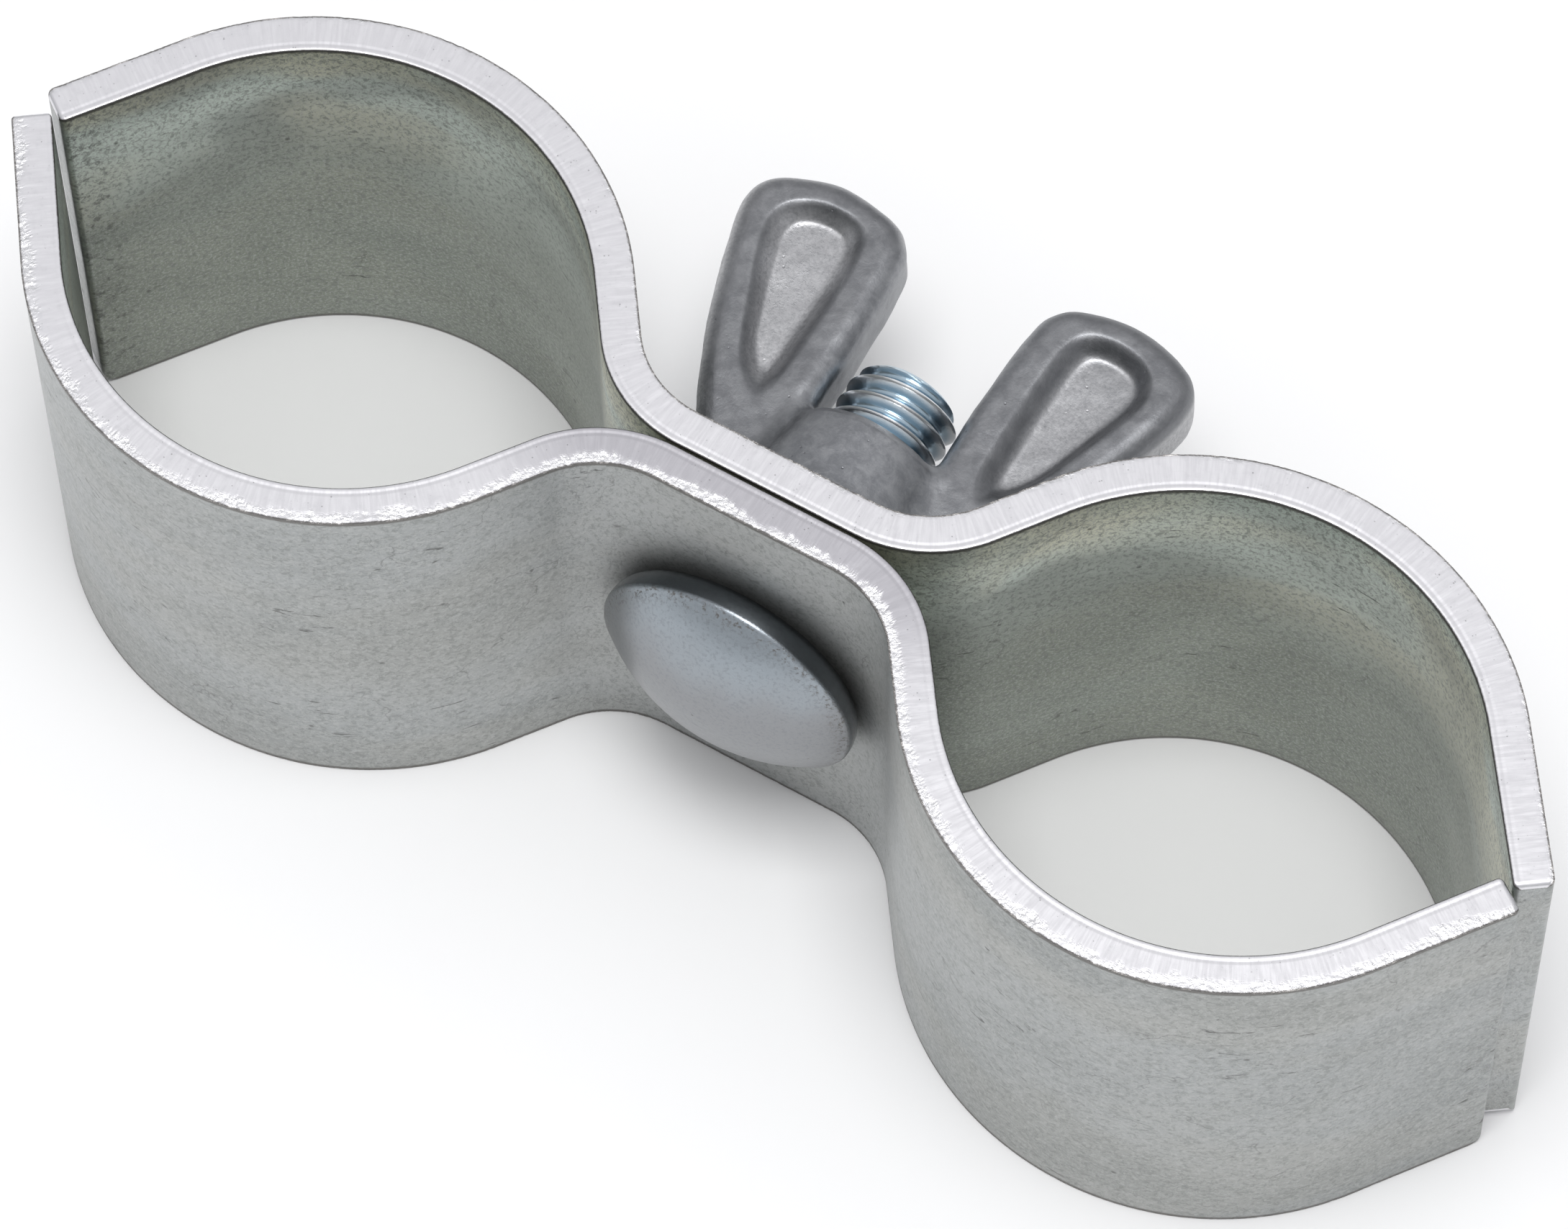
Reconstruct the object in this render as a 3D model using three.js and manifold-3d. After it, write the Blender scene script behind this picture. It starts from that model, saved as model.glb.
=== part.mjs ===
// A light double tube clamp for scaffold and rail tubes, in millimetres, +Z up along the tubes.
// Two identical formed flat-steel straps stand back to back on one carriage bolt, and a cast wing nut
// draws them together, so that each pair of saddles grips one of two parallel 48.3 mm tubes.
// X runs from tube to tube, and +Y runs along the bolt towards the wing nut.
// The origin is at mid-thickness of the front strap's lower edge, straight below the bolt's axis.
import * as THREE from "three";
import { mergeVertices } from "three/addons/utils/BufferGeometryUtils.js";
import Module from "manifold-3d";

const wasm = await Module();
wasm.setup();

// Strap: one piece of 45 mm flat steel, measured along the face that touches the other strap.
const STRAP_WIDTH = 45;
const STRAP_THICKNESS = 3.4;
const FLAT_HALF = 8.3;
const BEND_RADIUS = 12.9;
const BEND_ANGLE = 54;
const SHOULDER = 6.2;
const SADDLE_RADIUS = 24;
const LONG_END = 14.3;
const SHORT_END = 12.15;
const LOWER_CORNER_RADIUS = 1.5;
const BEND_FACETS = 9;
const SADDLE_FACETS = 27;
const STRAP_GAP = 0.2;

// Bolt: a carriage bolt of about 10 mm with a coarse thread, a domed head and a square neck.
const THREAD = { major: 5.1, minor: 4.1, crest: 0.22, base: 1.45 };
const PITCH = 1.75;
const THREAD_STEPS = 18;
const HEAD_GAP = 0.1;
const HEAD_RADIUS = 12;
const HEAD_RIM_HEIGHT = 3.1;
const HEAD_HEIGHT = 7.4;
const NECK_SIDE = 10.2;
const NECK_LENGTH = 6.2;
const SHANK_RADIUS = 5;
const THREAD_START = 4.8;
const BOLT_END = 26.1;
const END_CHAMFER = 1;
const CREST_AT_TOP = 20.9;
const SQUARE_HOLE = 10.8;

// Wing nut: one zinc casting, its seat face on the back strap, turned a little from the clamp's plane.
const NUT_THREAD = { major: 5.32, minor: 4.32, crest: 0.48, base: 1.62 };
const NUT_SEAT_GAP = 0.15;
const HUB_HEIGHT = 13.9;
const HUB_TOP_RADIUS = 7.2;
const HUB_BASE_RADIUS = 10;
const WING_THICKNESS = 6.8;
const WING_ROUND = 2.2;
const WING_TOP = 35;
const POCKET_DEPTH = 1.6;
const POCKET_FILLET = 1.8;
const NUT_TURN = 2;

const ROUND_FACETS = 40;
const contactPlane = (STRAP_THICKNESS + STRAP_GAP) / 2;
const seatPlane = contactPlane + STRAP_GAP / 2 + STRAP_THICKNESS + NUT_SEAT_GAP;
const headSeat = -STRAP_THICKNESS / 2 - HEAD_GAP;
const radians = THREE.MathUtils.degToRad;

// A closed geometry as a solid that can be joined and cut.
function solidOf(geometry) {
  geometry.deleteAttribute("normal");
  geometry.deleteAttribute("uv");
  const merged = mergeVertices(geometry, 1e-4);
  return new wasm.Manifold(
    new wasm.Mesh({
      numProp: 3,
      vertProperties: merged.attributes.position.array,
      triVerts: new Uint32Array(merged.index.array),
    }),
  );
}

function namedMesh(name, solid, finish) {
  const result = solid.getMesh();
  const geometry = new THREE.BufferGeometry();
  geometry.setAttribute("position", new THREE.BufferAttribute(result.vertProperties, 3));
  geometry.setIndex(new THREE.BufferAttribute(result.triVerts, 1));
  geometry.computeVertexNormals();
  const mesh = new THREE.Mesh(geometry, new THREE.MeshStandardMaterial(finish));
  mesh.name = name;
  return mesh;
}

// Points and headings along the contact face from the bolt outwards; y grows away from the other strap.
function halfStrap(endLength) {
  const runs = [
    { length: FLAT_HALF, turn: 0, facets: 1 },
    { length: BEND_RADIUS * radians(BEND_ANGLE), turn: BEND_ANGLE, facets: BEND_FACETS },
    { length: SHOULDER, turn: 0, facets: 1 },
    { length: SADDLE_RADIUS * radians(2 * BEND_ANGLE), turn: -2 * BEND_ANGLE, facets: SADDLE_FACETS },
    { length: endLength, turn: 0, facets: 1 },
  ];
  const stations = [];
  const at = new THREE.Vector2(0, 0);
  let heading = 0;
  for (const { length, turn, facets } of runs) {
    const step = radians(turn) / facets;
    const chord = step ? (2 * (length / facets / step)) * Math.sin(step / 2) : length;
    for (let i = 0; i < facets; i++) {
      const direction = heading + step / 2;
      at.add(new THREE.Vector2(Math.cos(direction), Math.sin(direction)).multiplyScalar(chord));
      heading += step;
      stations.push({ point: at.clone(), heading });
    }
  }
  return stations;
}

function faceOffset({ point, heading }, distance) {
  return new THREE.Vector2(
    point.x - distance * Math.sin(heading),
    point.y + distance * Math.cos(heading),
  );
}

// A prism that rounds the lower corner of a strap's end; inward points from the end back along the strap.
function cornerCutter(corner, inward) {
  const margin = 1;
  const shape = new THREE.Shape();
  shape.moveTo(-margin, -margin);
  shape.lineTo(LOWER_CORNER_RADIUS, -margin);
  shape.lineTo(LOWER_CORNER_RADIUS, 0);
  shape.absarc(LOWER_CORNER_RADIUS, LOWER_CORNER_RADIUS, LOWER_CORNER_RADIUS, -Math.PI / 2, -Math.PI, true);
  shape.lineTo(-margin, LOWER_CORNER_RADIUS);
  const depth = 4 * STRAP_THICKNESS;
  const prism = new THREE.ExtrudeGeometry(shape, { depth, bevelEnabled: false, curveSegments: 6 });
  prism.translate(0, 0, -depth / 2);
  const up = new THREE.Vector3(0, 0, 1);
  const through = new THREE.Vector3().crossVectors(inward, up);
  const place = new THREE.Matrix4().makeBasis(inward, up, through).setPosition(corner);
  prism.applyMatrix4(place);
  return solidOf(prism);
}

// The front strap in the clamp's frame, its long end at -X.
function strap() {
  const sides = [
    { sign: -1, stations: halfStrap(LONG_END) },
    { sign: 1, stations: halfStrap(SHORT_END) },
  ];
  const faceY = contactPlane - STRAP_GAP / 2;
  const face = (distance) => {
    const [left, right] = sides.map(({ sign, stations }) =>
      stations.map((station) => {
        const point = faceOffset(station, distance);
        return new THREE.Vector2(sign * point.x, faceY - point.y);
      }),
    );
    return [...left.reverse(), ...right];
  };
  const outline = [...face(0), ...face(STRAP_THICKNESS).reverse()];
  const plate = new THREE.ExtrudeGeometry(new THREE.Shape(outline), {
    depth: STRAP_WIDTH,
    bevelEnabled: false,
  });
  let solid = solidOf(plate);

  const hole = new THREE.BoxGeometry(SQUARE_HOLE, 4 * STRAP_THICKNESS, SQUARE_HOLE);
  hole.translate(0, 0, STRAP_WIDTH / 2);
  solid = solid.subtract(solidOf(hole));

  for (const { sign, stations } of sides) {
    const end = stations[stations.length - 1];
    const inward = new THREE.Vector3(-sign * Math.cos(end.heading), Math.sin(end.heading), 0);
    const corner = new THREE.Vector3(sign * end.point.x, faceY - end.point.y, 0);
    solid = solid.subtract(cornerCutter(corner, inward));
  }
  return solid;
}

// The Y axis from one height down to another, with frames that turn once a pitch, right-handed, so that
// a section carried along it draws a thread.
class ThreadPath extends THREE.Curve {
  constructor(from, to) {
    super();
    this.from = from;
    this.to = to;
  }

  heightAt(t) {
    return THREE.MathUtils.lerp(this.to, this.from, t);
  }

  getPoint(t, target = new THREE.Vector3()) {
    return target.set(0, this.heightAt(t), 0);
  }

  getPointAt(t, target) {
    return this.getPoint(t, target);
  }

  computeFrenetFrames(segments) {
    const frames = { tangents: [], normals: [], binormals: [] };
    for (let i = 0; i <= segments; i++) {
      const angle = Math.PI / 2 - (2 * Math.PI * (this.heightAt(i / segments) - CREST_AT_TOP)) / PITCH;
      const radial = new THREE.Vector3(Math.cos(angle), 0, Math.sin(angle));
      frames.normals.push(radial);
      frames.binormals.push(new THREE.Vector3(0, 1, 0));
      frames.tangents.push(new THREE.Vector3().crossVectors(radial, frames.binormals[i]));
    }
    return frames;
  }
}

// A threaded rod that reaches past both heights: a core with one helical ridge, which starts and ends
// on whole turns so that the ridge's facets line up with the core's.
function threadedRod({ major, minor, crest, base }, low, high) {
  const from = CREST_AT_TOP + PITCH * Math.floor((low - CREST_AT_TOP) / PITCH - 1);
  const to = CREST_AT_TOP + PITCH * Math.ceil((high - CREST_AT_TOP) / PITCH + 1);
  const inside = 0.5;
  const spread = ((base - crest) / (major - minor)) * inside;
  const ridge = new THREE.Shape();
  ridge.moveTo(minor - inside, -(base + spread) / 2);
  ridge.lineTo(major, -crest / 2);
  ridge.lineTo(major, crest / 2);
  ridge.lineTo(minor - inside, (base + spread) / 2);
  const helix = new THREE.ExtrudeGeometry(ridge, {
    steps: Math.round((to - from) / PITCH) * THREAD_STEPS,
    extrudePath: new ThreadPath(from, to),
    bevelEnabled: false,
  });
  const core = new THREE.CylinderGeometry(minor, minor, to - from, THREAD_STEPS);
  core.translate(0, (from + to) / 2, 0);
  return solidOf(helix).add(solidOf(core));
}

function lathe(profile, facets = ROUND_FACETS) {
  return solidOf(new THREE.LatheGeometry(profile, facets));
}

function arcPoints(centreX, centreY, radius, from, to, divisions) {
  const arc = new THREE.ArcCurve(centreX, centreY, radius, from, to, to < from);
  return arc.getPoints(divisions);
}

// The domed head, from its flat underside on the front strap to the top of the dome at -Y.
function boltHead() {
  const rim = headSeat - HEAD_RIM_HEIGHT;
  const rise = HEAD_HEIGHT - HEAD_RIM_HEIGHT;
  const shoulder = HEAD_RADIUS - 0.35;
  const domeRadius = (shoulder ** 2 + rise ** 2) / (2 * rise);
  const domeCentre = rim - rise + domeRadius;
  const halfAngle = Math.asin(shoulder / domeRadius);
  const dome = arcPoints(0, domeCentre, domeRadius, -Math.PI / 2, -Math.PI / 2 + halfAngle, 8);
  dome[0].x = 0;
  return lathe([
    ...dome,
    new THREE.Vector2(HEAD_RADIUS, rim + 0.5),
    new THREE.Vector2(HEAD_RADIUS - 0.15, headSeat - 1.6),
    new THREE.Vector2(HEAD_RADIUS - 0.6, headSeat - 1),
    new THREE.Vector2(HEAD_RADIUS - 1.5, headSeat - 0.5),
    new THREE.Vector2(HEAD_RADIUS - 4, headSeat),
    new THREE.Vector2(0, headSeat),
  ]);
}

function carriageBolt() {
  const neck = new THREE.BoxGeometry(NECK_SIDE, NECK_LENGTH + 1, NECK_SIDE);
  neck.translate(0, headSeat + NECK_LENGTH / 2 - 0.5, 0);
  const shank = new THREE.CylinderGeometry(SHANK_RADIUS, SHANK_RADIUS, THREAD_START, ROUND_FACETS);
  shank.translate(0, THREAD_START / 2, 0);

  const blankRadius = THREAD.major + 0.2;
  const blank = lathe([
    new THREE.Vector2(0, THREAD_START - 0.4),
    new THREE.Vector2(blankRadius, THREAD_START - 0.4),
    new THREE.Vector2(blankRadius, BOLT_END - END_CHAMFER),
    new THREE.Vector2(blankRadius - END_CHAMFER, BOLT_END),
    new THREE.Vector2(0, BOLT_END),
  ]);
  const thread = threadedRod(THREAD, THREAD_START, BOLT_END).intersect(blank);
  return boltHead().add(solidOf(neck)).add(solidOf(shank)).add(thread);
}

// One wing's outline beyond the hub, as distance from the bolt's axis and height above the seat.
function wingOutline() {
  const shape = new THREE.Shape();
  shape.moveTo(5.5, 3);
  shape.lineTo(5.5, 12.6);
  shape.splineThru([
    new THREE.Vector2(6, 14.5),
    new THREE.Vector2(5.9, 22.5),
    new THREE.Vector2(6.3, 29.5),
    new THREE.Vector2(7, 32.2),
    new THREE.Vector2(9.4, 34.1),
    new THREE.Vector2(15, WING_TOP - 0.2),
    new THREE.Vector2(20.2, 33),
    new THREE.Vector2(21.8, 29.7),
    new THREE.Vector2(20.5, 24.2),
    new THREE.Vector2(18.3, 17.6),
    new THREE.Vector2(15.2, 10.6),
    new THREE.Vector2(11.4, 4),
  ]);
  return shape;
}

function wing() {
  const geometry = new THREE.ExtrudeGeometry(wingOutline(), {
    depth: WING_THICKNESS - 2 * WING_ROUND,
    bevelEnabled: true,
    bevelSize: WING_ROUND,
    bevelOffset: -WING_ROUND,
    bevelThickness: WING_ROUND,
    bevelSegments: 4,
    curveSegments: 3,
  });
  geometry.translate(0, seatPlane, -WING_THICKNESS / 2 + WING_ROUND);
  return solidOf(geometry);
}

// The teardrop pocket in one face of a wing: a flat floor whose sides curve out to the face.
function pocket() {
  const shape = new THREE.Shape();
  shape.moveTo(12, 16.6);
  shape.splineThru([
    new THREE.Vector2(14.4, 20.5),
    new THREE.Vector2(16.6, 27),
    new THREE.Vector2(16.6, 29.4),
    new THREE.Vector2(14.8, 30.5),
    new THREE.Vector2(12.2, 30.2),
    new THREE.Vector2(11.4, 24),
    new THREE.Vector2(12, 16.6),
  ]);
  const sideHeight = 1.5 * POCKET_DEPTH;
  const geometry = new THREE.ExtrudeGeometry(shape, {
    depth: 1,
    bevelEnabled: true,
    bevelSize: POCKET_FILLET,
    bevelThickness: sideHeight,
    bevelSegments: 4,
    curveSegments: 3,
  });
  geometry.translate(0, seatPlane, WING_THICKNESS / 2 - POCKET_DEPTH + sideHeight);
  return solidOf(geometry);
}

function wingNut() {
  const top = seatPlane + HUB_HEIGHT;
  const waistRadius = (HUB_TOP_RADIUS + HUB_BASE_RADIUS) / 2 - 0.4;
  let solid = lathe([
    new THREE.Vector2(0, seatPlane),
    new THREE.Vector2(HUB_BASE_RADIUS - 1.4, seatPlane),
    new THREE.Vector2(HUB_BASE_RADIUS, seatPlane + 1.6),
    new THREE.Vector2(waistRadius, seatPlane + HUB_HEIGHT / 2),
    new THREE.Vector2(HUB_TOP_RADIUS, top - 0.5),
    new THREE.Vector2(HUB_TOP_RADIUS - 0.5, top),
    new THREE.Vector2(0, top),
  ]);
  const half = wing();
  const cut = pocket();
  const turned = (piece) => piece.rotate([0, 180, 0]);
  const flipped = (piece) => piece.mirror([0, 0, 1]);
  solid = solid.add(half).add(turned(half));
  for (const face of [cut, flipped(cut)]) {
    solid = solid.subtract(face).subtract(turned(face));
  }
  return solid.subtract(threadedRod(NUT_THREAD, seatPlane, top));
}

const strapFinish = { color: 0xb7b9b6, roughness: 0.42, metalness: 0.9 };
const boltFinish = { color: 0xaeb8c2, roughness: 0.3, metalness: 1 };
const castFinish = { color: 0x8a8c8e, roughness: 0.5, metalness: 0.75 };

const clamp = new THREE.Group();

const strapSolid = strap();
clamp.add(namedMesh("front_strap", strapSolid, strapFinish));

const backHalf = new THREE.Group();
backHalf.position.y = 2 * contactPlane;
backHalf.rotation.z = Math.PI;
backHalf.add(namedMesh("back_strap", strapSolid, strapFinish));
clamp.add(backHalf);

const onAxis = new THREE.Group();
onAxis.position.z = STRAP_WIDTH / 2;
onAxis.add(namedMesh("carriage_bolt", carriageBolt(), boltFinish));
onAxis.add(namedMesh("wing_nut", wingNut().rotate([0, -NUT_TURN, 0]), castFinish));
clamp.add(onAxis);

export default clamp;
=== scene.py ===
"""The looks of a light double tube clamp: two plated steel straps, a carriage bolt and a cast wing nut.

Each CAD solid is replaced by a finer mesh of the same size, made here in millimetres in the CAD frame:
+X from tube to tube, +Y along the bolt towards the wing nut, +Z up along the tubes.
"""
import math

import bmesh
import bpy
import numpy as np
import openvdb
from mathutils import Matrix, Vector, noise


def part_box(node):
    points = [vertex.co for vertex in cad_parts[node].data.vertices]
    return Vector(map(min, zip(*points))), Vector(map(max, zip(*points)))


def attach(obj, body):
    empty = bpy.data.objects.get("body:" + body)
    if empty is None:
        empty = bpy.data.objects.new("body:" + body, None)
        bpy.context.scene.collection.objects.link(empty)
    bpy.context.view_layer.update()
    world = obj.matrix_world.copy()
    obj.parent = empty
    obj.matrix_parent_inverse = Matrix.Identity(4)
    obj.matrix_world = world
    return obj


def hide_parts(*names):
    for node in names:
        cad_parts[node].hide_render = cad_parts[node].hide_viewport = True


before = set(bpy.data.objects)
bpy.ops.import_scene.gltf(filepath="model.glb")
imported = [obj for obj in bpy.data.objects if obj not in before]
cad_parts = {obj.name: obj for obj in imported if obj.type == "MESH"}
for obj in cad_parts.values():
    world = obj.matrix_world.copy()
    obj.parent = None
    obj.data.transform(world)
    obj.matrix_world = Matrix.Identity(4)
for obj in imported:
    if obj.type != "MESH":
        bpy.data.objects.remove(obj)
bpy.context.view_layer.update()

MM = 0.001


def cad_box(node):
    """A CAD node's lowest and highest corners, in millimetres."""
    low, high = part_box(node)
    return np.array(low) / MM, np.array(high) / MM


bolt_low, bolt_high = cad_box("carriage_bolt")
nut_low, nut_high = cad_box("wing_nut")
_, strap_high = cad_box("front_strap")

# Strap, measured along the face that touches the other strap.
STRAP_WIDTH = strap_high[2]
STRAP_THICKNESS = 3.38
FLAT_HALF = 8.3
BEND_RADIUS = 12.9
BEND_ANGLE = math.radians(54)
SHOULDER = 6.2
SADDLE_RADIUS = 24.0
LONG_END = 14.3
SHORT_END = 12.15
LOWER_CORNER_RADIUS = 1.5
UPPER_CORNER_RADIUS = 0.5
END_ROUND = 0.6
CORNER_STEPS = 32
HOLE_HALF = 5.4
FRONT_FACE_Y = 1.7
BACK_FACE_Y = 1.9
STATION_SPACING = 0.16
EDGE_ROLLOVER = 0.22
RIM_DEPTHS = [0, 0.03, 0.08, 0.14, EDGE_ROLLOVER]
CORE_START = 0.4
CORE_STEPS = 23
SCORE_DEPTH = 0.62
# Each strap's own noise seed and the mean width of its torn band.
FRONT_SEED = 3
FRONT_TEAR = 0.95
BACK_SEED = 517
BACK_TEAR = 0.35

# Bolt.
BOLT_AXIS_Z = (bolt_low[2] + bolt_high[2]) / 2
HEAD_SEAT_Y = -1.8
HEAD_RADIUS = bolt_high[0]
HEAD_APEX_Y = bolt_low[1]
BOLT_END_Y = bolt_high[1]
NECK_HALF = 5.1
NECK_CORNER = 0.6
NECK_END_Y = 4.3
SHANK_RADIUS = 5.0
THREAD_START_Y = 4.8
CREST_AT_TOP_Y = 20.9
PITCH = 1.75
MAJOR_RADIUS = 5.12
MINOR_RADIUS = 4.1
END_CHAMFER = 1.0
ROUND_STEPS = 144
THREAD_ROWS = 18
SHARP_ANGLE = math.radians(38)

# Wing nut; its outlines are distances from the bolt's axis and heights above the nut's seat.
SEAT_Y = nut_low[1]
HUB_HEIGHT = 13.9
HUB_TOP_RADIUS = 7.2
HUB_BASE_RADIUS = 10.0
WING_HALF_THICKNESS = 3.4
WING_ROUND = 1.9
POCKET_DEPTH = 1.7
BORE_RADIUS = 5.35
NUT_TURN = math.radians(-2)
NUT_VOXEL = 0.25
HUB_BLEND = 1.6
WING_ROOT = [(5.5, 3), (5.5, 12.6)]
WING_OUTLINE = [
    (6, 14.5), (5.9, 22.5), (6.3, 29.5), (7, 32.2), (9.4, 34.1), (15, 34.8),
    (20.2, 33), (21.8, 29.7), (20.5, 24.2), (18.3, 17.6), (15.2, 10.6), (11.4, 4),
]
POCKET_FLOOR = [
    (11.7, 16.2), (13.4, 18), (14.6, 21), (15.9, 25), (16.8, 28.2), (16.3, 29.9), (14.8, 30.6),
    (12.7, 30.5), (11.7, 29), (11.5, 25), (11.6, 20),
]
POCKET_LIP = [
    (11.2, 12.6), (13.6, 14.8), (15.1, 17.8), (16.7, 21.8), (18.1, 25.4), (18.8, 28.4), (18, 30.7),
    (16, 32), (13.6, 32.4), (11.1, 31.9), (9.7, 30), (9.3, 26), (9.2, 20.5), (9.4, 15.4), (10, 13.2),
]

# Camera: the picture's viewing angle, with the point it looks at, in millimetres.
CAMERA_AIM = (1.74, 1.8, 24.55)
CAMERA_DISTANCE = 672.9
CAMERA_AZIMUTH = math.radians(31.277)
CAMERA_ELEVATION = math.radians(62.508)
CAMERA_ROLL = math.radians(1.028)
CAMERA_LENS = 184.9

# Colours, as linear light.
OUTER_COOL = (0.395, 0.409, 0.409)
OUTER_WARM = (0.403, 0.409, 0.397)
# The two inner tints below are set brighter than the outer tones as painted light; the third colour is a
# painted shade for the inner faces' lower part.
INNER_TEAL = (0.76, 0.84, 0.78)
INNER_OLIVE = (0.84, 0.84, 0.7)
INNER_LOWER_SHADE = (0.25, 0.275, 0.235)
STRAP_DARK = (0.25, 0.265, 0.255)
STRAP_PALE = (0.5, 0.51, 0.5)
STRAP_SPECK = (0.2, 0.215, 0.2)
# The next colour is a painted sheen for the flat round the bolt.
STRAP_PAINTED_SHEEN = (0.52, 0.525, 0.52)
STRAP_SCUFF = (0.1, 0.1, 0.095)
# The next colour is a painted shade for thin lines along the strap's borders.
STRAP_EDGE_SHADE = (0.12, 0.11, 0.1)
EDGE_LILAC = (0.775, 0.768, 0.79)
EDGE_PALE = (0.82, 0.82, 0.835)
EDGE_RUBBED = (0.5, 0.49, 0.52)
EDGE_DULL = (0.62, 0.62, 0.64)
EDGE_BRIGHT = (0.67, 0.67, 0.68)
# The next colour is painted light for the head's upper part.
HEAD_TOP_PAINTED_LIGHT = (0.36, 0.4, 0.435)
HEAD_PALE = (0.31, 0.318, 0.33)
HEAD_DULL = (0.22, 0.235, 0.25)
HEAD_WORN = (0.13, 0.11, 0.09)
# The next colour is a painted dark reflection for the head's side band.
HEAD_BAND_DARK_REFLECTION = (0.075, 0.08, 0.085)
# The next colour is a painted highlight for the thread's crests.
THREAD_CREST_HIGHLIGHT = (0.9, 0.92, 0.93)
THREAD_ROOT = (0.41, 0.52, 0.6)
CAST_DARK = (0.25, 0.257, 0.272)
CAST_PALE = (0.36, 0.367, 0.382)
# The next colour is a painted shade for the wings.
CAST_WING_SHADE = (0.16, 0.163, 0.17)
CAST_BRIGHT = (0.52, 0.52, 0.53)
CAST_PORE = (0.08, 0.08, 0.09)
FLOOR_PALE = (0.86, 0.86, 0.86)
FLOOR_PALER = (0.88, 0.88, 0.88)

# Floor, in millimetres.
FLOOR_HALF = 3000
FLOOR_Z = -0.02

# Light; the lamp's distance and size are in metres.
SKY_LOW = (0.4, 0.41, 0.42)
SKY_HIGH = (0.82, 0.82, 0.84)
LAMP_AZIMUTH = math.radians(31)
LAMP_ELEVATION = math.radians(82)
LAMP_DISTANCE = 1.2
LAMP_SIZE = 0.5
LAMP_POWER = 8


# ---------------------------------------------------------------- meshes

def make_piece(name, vertices, faces, body, node, materials):
    """A smooth-shaded closed mesh from millimetre coordinates that stands for one CAD node."""
    mesh = bpy.data.meshes.new(name)
    mesh.from_pydata([tuple(v) for v in np.asarray(vertices) * MM], [], faces)
    work = bmesh.new()
    work.from_mesh(mesh)
    bmesh.ops.remove_doubles(work, verts=work.verts, dist=1e-7)
    bmesh.ops.recalc_face_normals(work, faces=work.faces)
    work.to_mesh(mesh)
    work.free()
    for material in materials:
        mesh.materials.append(material)
    mesh.shade_smooth()
    mesh.set_sharp_from_angle(angle=SHARP_ANGLE)
    piece = bpy.data.objects.new(name, mesh)
    bpy.context.scene.collection.objects.link(piece)
    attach(piece, body)
    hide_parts(node)
    return piece


def rough(x, y, seed, octaves=3):
    """Smooth noise of about -1 to 1 over a plane."""
    return noise.fractal(Vector((x, y, seed)), 0.7, 2.0, octaves)


def spline(points, steps, closed=False):
    """Points along a smooth curve through the given ones."""
    p = np.array(points, float)
    if closed:
        p = np.vstack([p[-1], p, p[0], p[1]])
    else:
        p = np.vstack([2 * p[0] - p[1], p, 2 * p[-1] - p[-2]])
    t = np.linspace(0, 1, steps, endpoint=False)[:, None]
    runs = []
    for a, b, c, d in zip(p, p[1:], p[2:], p[3:]):
        square = 2 * a - 5 * b + 4 * c - d
        cube = 3 * b - a - 3 * c + d
        runs.append(0.5 * (2 * b + (c - a) * t + square * t**2 + cube * t**3))
    if not closed:
        runs.append(p[-2][None])
    return np.vstack(runs)


# ---------------------------------------------------------------- straps

def half_path(end_length):
    """Rows of distance, x, y, heading and reach into the end's corner, from the bolt outwards.

    y leads away from the other strap."""
    runs = [
        (HOLE_HALF, 0),
        (FLAT_HALF - HOLE_HALF, 0),
        (BEND_RADIUS * BEND_ANGLE, BEND_ANGLE),
        (SHOULDER, 0),
        (SADDLE_RADIUS * 2 * BEND_ANGLE, -2 * BEND_ANGLE),
        (end_length - LOWER_CORNER_RADIUS, 0),
    ]
    rows = [(0.0, 0.0, 0.0, 0.0, 0.0)]
    for length, turn in runs:
        s, x, y, heading, _ = rows[-1]
        curvature = turn / length
        for u in np.linspace(0, length, max(2, round(length / STATION_SPACING)) + 1)[1:]:
            h = heading + curvature * u
            if turn:
                dx = (math.sin(h) - math.sin(heading)) / curvature
                dy = (math.cos(heading) - math.cos(h)) / curvature
            else:
                dx = u * math.cos(heading)
                dy = u * math.sin(heading)
            rows.append((s + u, x + dx, y + dy, h, 0.0))
    s, x, y, heading, _ = rows[-1]
    for angle in np.linspace(0, math.pi / 2, CORNER_STEPS + 1)[1:]:
        u = LOWER_CORNER_RADIUS * math.sin(angle)
        rows.append((s + u, x + u * math.cos(heading), y + u * math.sin(heading), heading, u))
    return np.array(rows)


def corner_inset(reach, radius):
    """How far a rounded corner has left the straight edge, a given reach past the corner's start."""
    return radius - math.sqrt(radius**2 - min(max(reach, 0), radius) ** 2)


def sheared_edge(s, depth, seed, tear_width):
    """How far a sheared edge lies below a true one, and how torn it is there (0 to 1)."""
    drop = 0.0
    if depth < EDGE_ROLLOVER:
        drop = EDGE_ROLLOVER - math.sqrt(EDGE_ROLLOVER**2 - (EDGE_ROLLOVER - depth) ** 2)
    drop += max(0.0, 0.006 * (1 + rough(s * 1.3, depth * 0.4, seed)))
    if abs(depth - SCORE_DEPTH) < 0.1:
        drop += 0.02

    # The blade's cut ends, and the steel tears, at a depth that wanders along the strap.
    spread = 1 + 0.7 * rough(s * 0.16, 0, seed + 5) + 0.5 * rough(s * 1.5, 0, seed + 9)
    width = tear_width * max(0.25, spread)
    into = depth - (STRAP_THICKNESS - width)
    if into <= 0:
        return drop, 0.0
    patch = 0.75 + 0.6 * rough(s * 0.3, 0, seed + 40)
    torn = min(1.0, into / 0.3) * min(1.0, max(0.25, patch))
    large_chips = abs(rough(s * 1.7, depth * 1.7, seed + 20, 2))
    small_chips = abs(rough(s * 4.5, depth * 4.5, seed + 30, 2))
    chips = large_chips + 0.5 * small_chips
    return drop + torn * (0.02 + 0.03 * into / width + 0.11 * chips), torn


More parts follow.
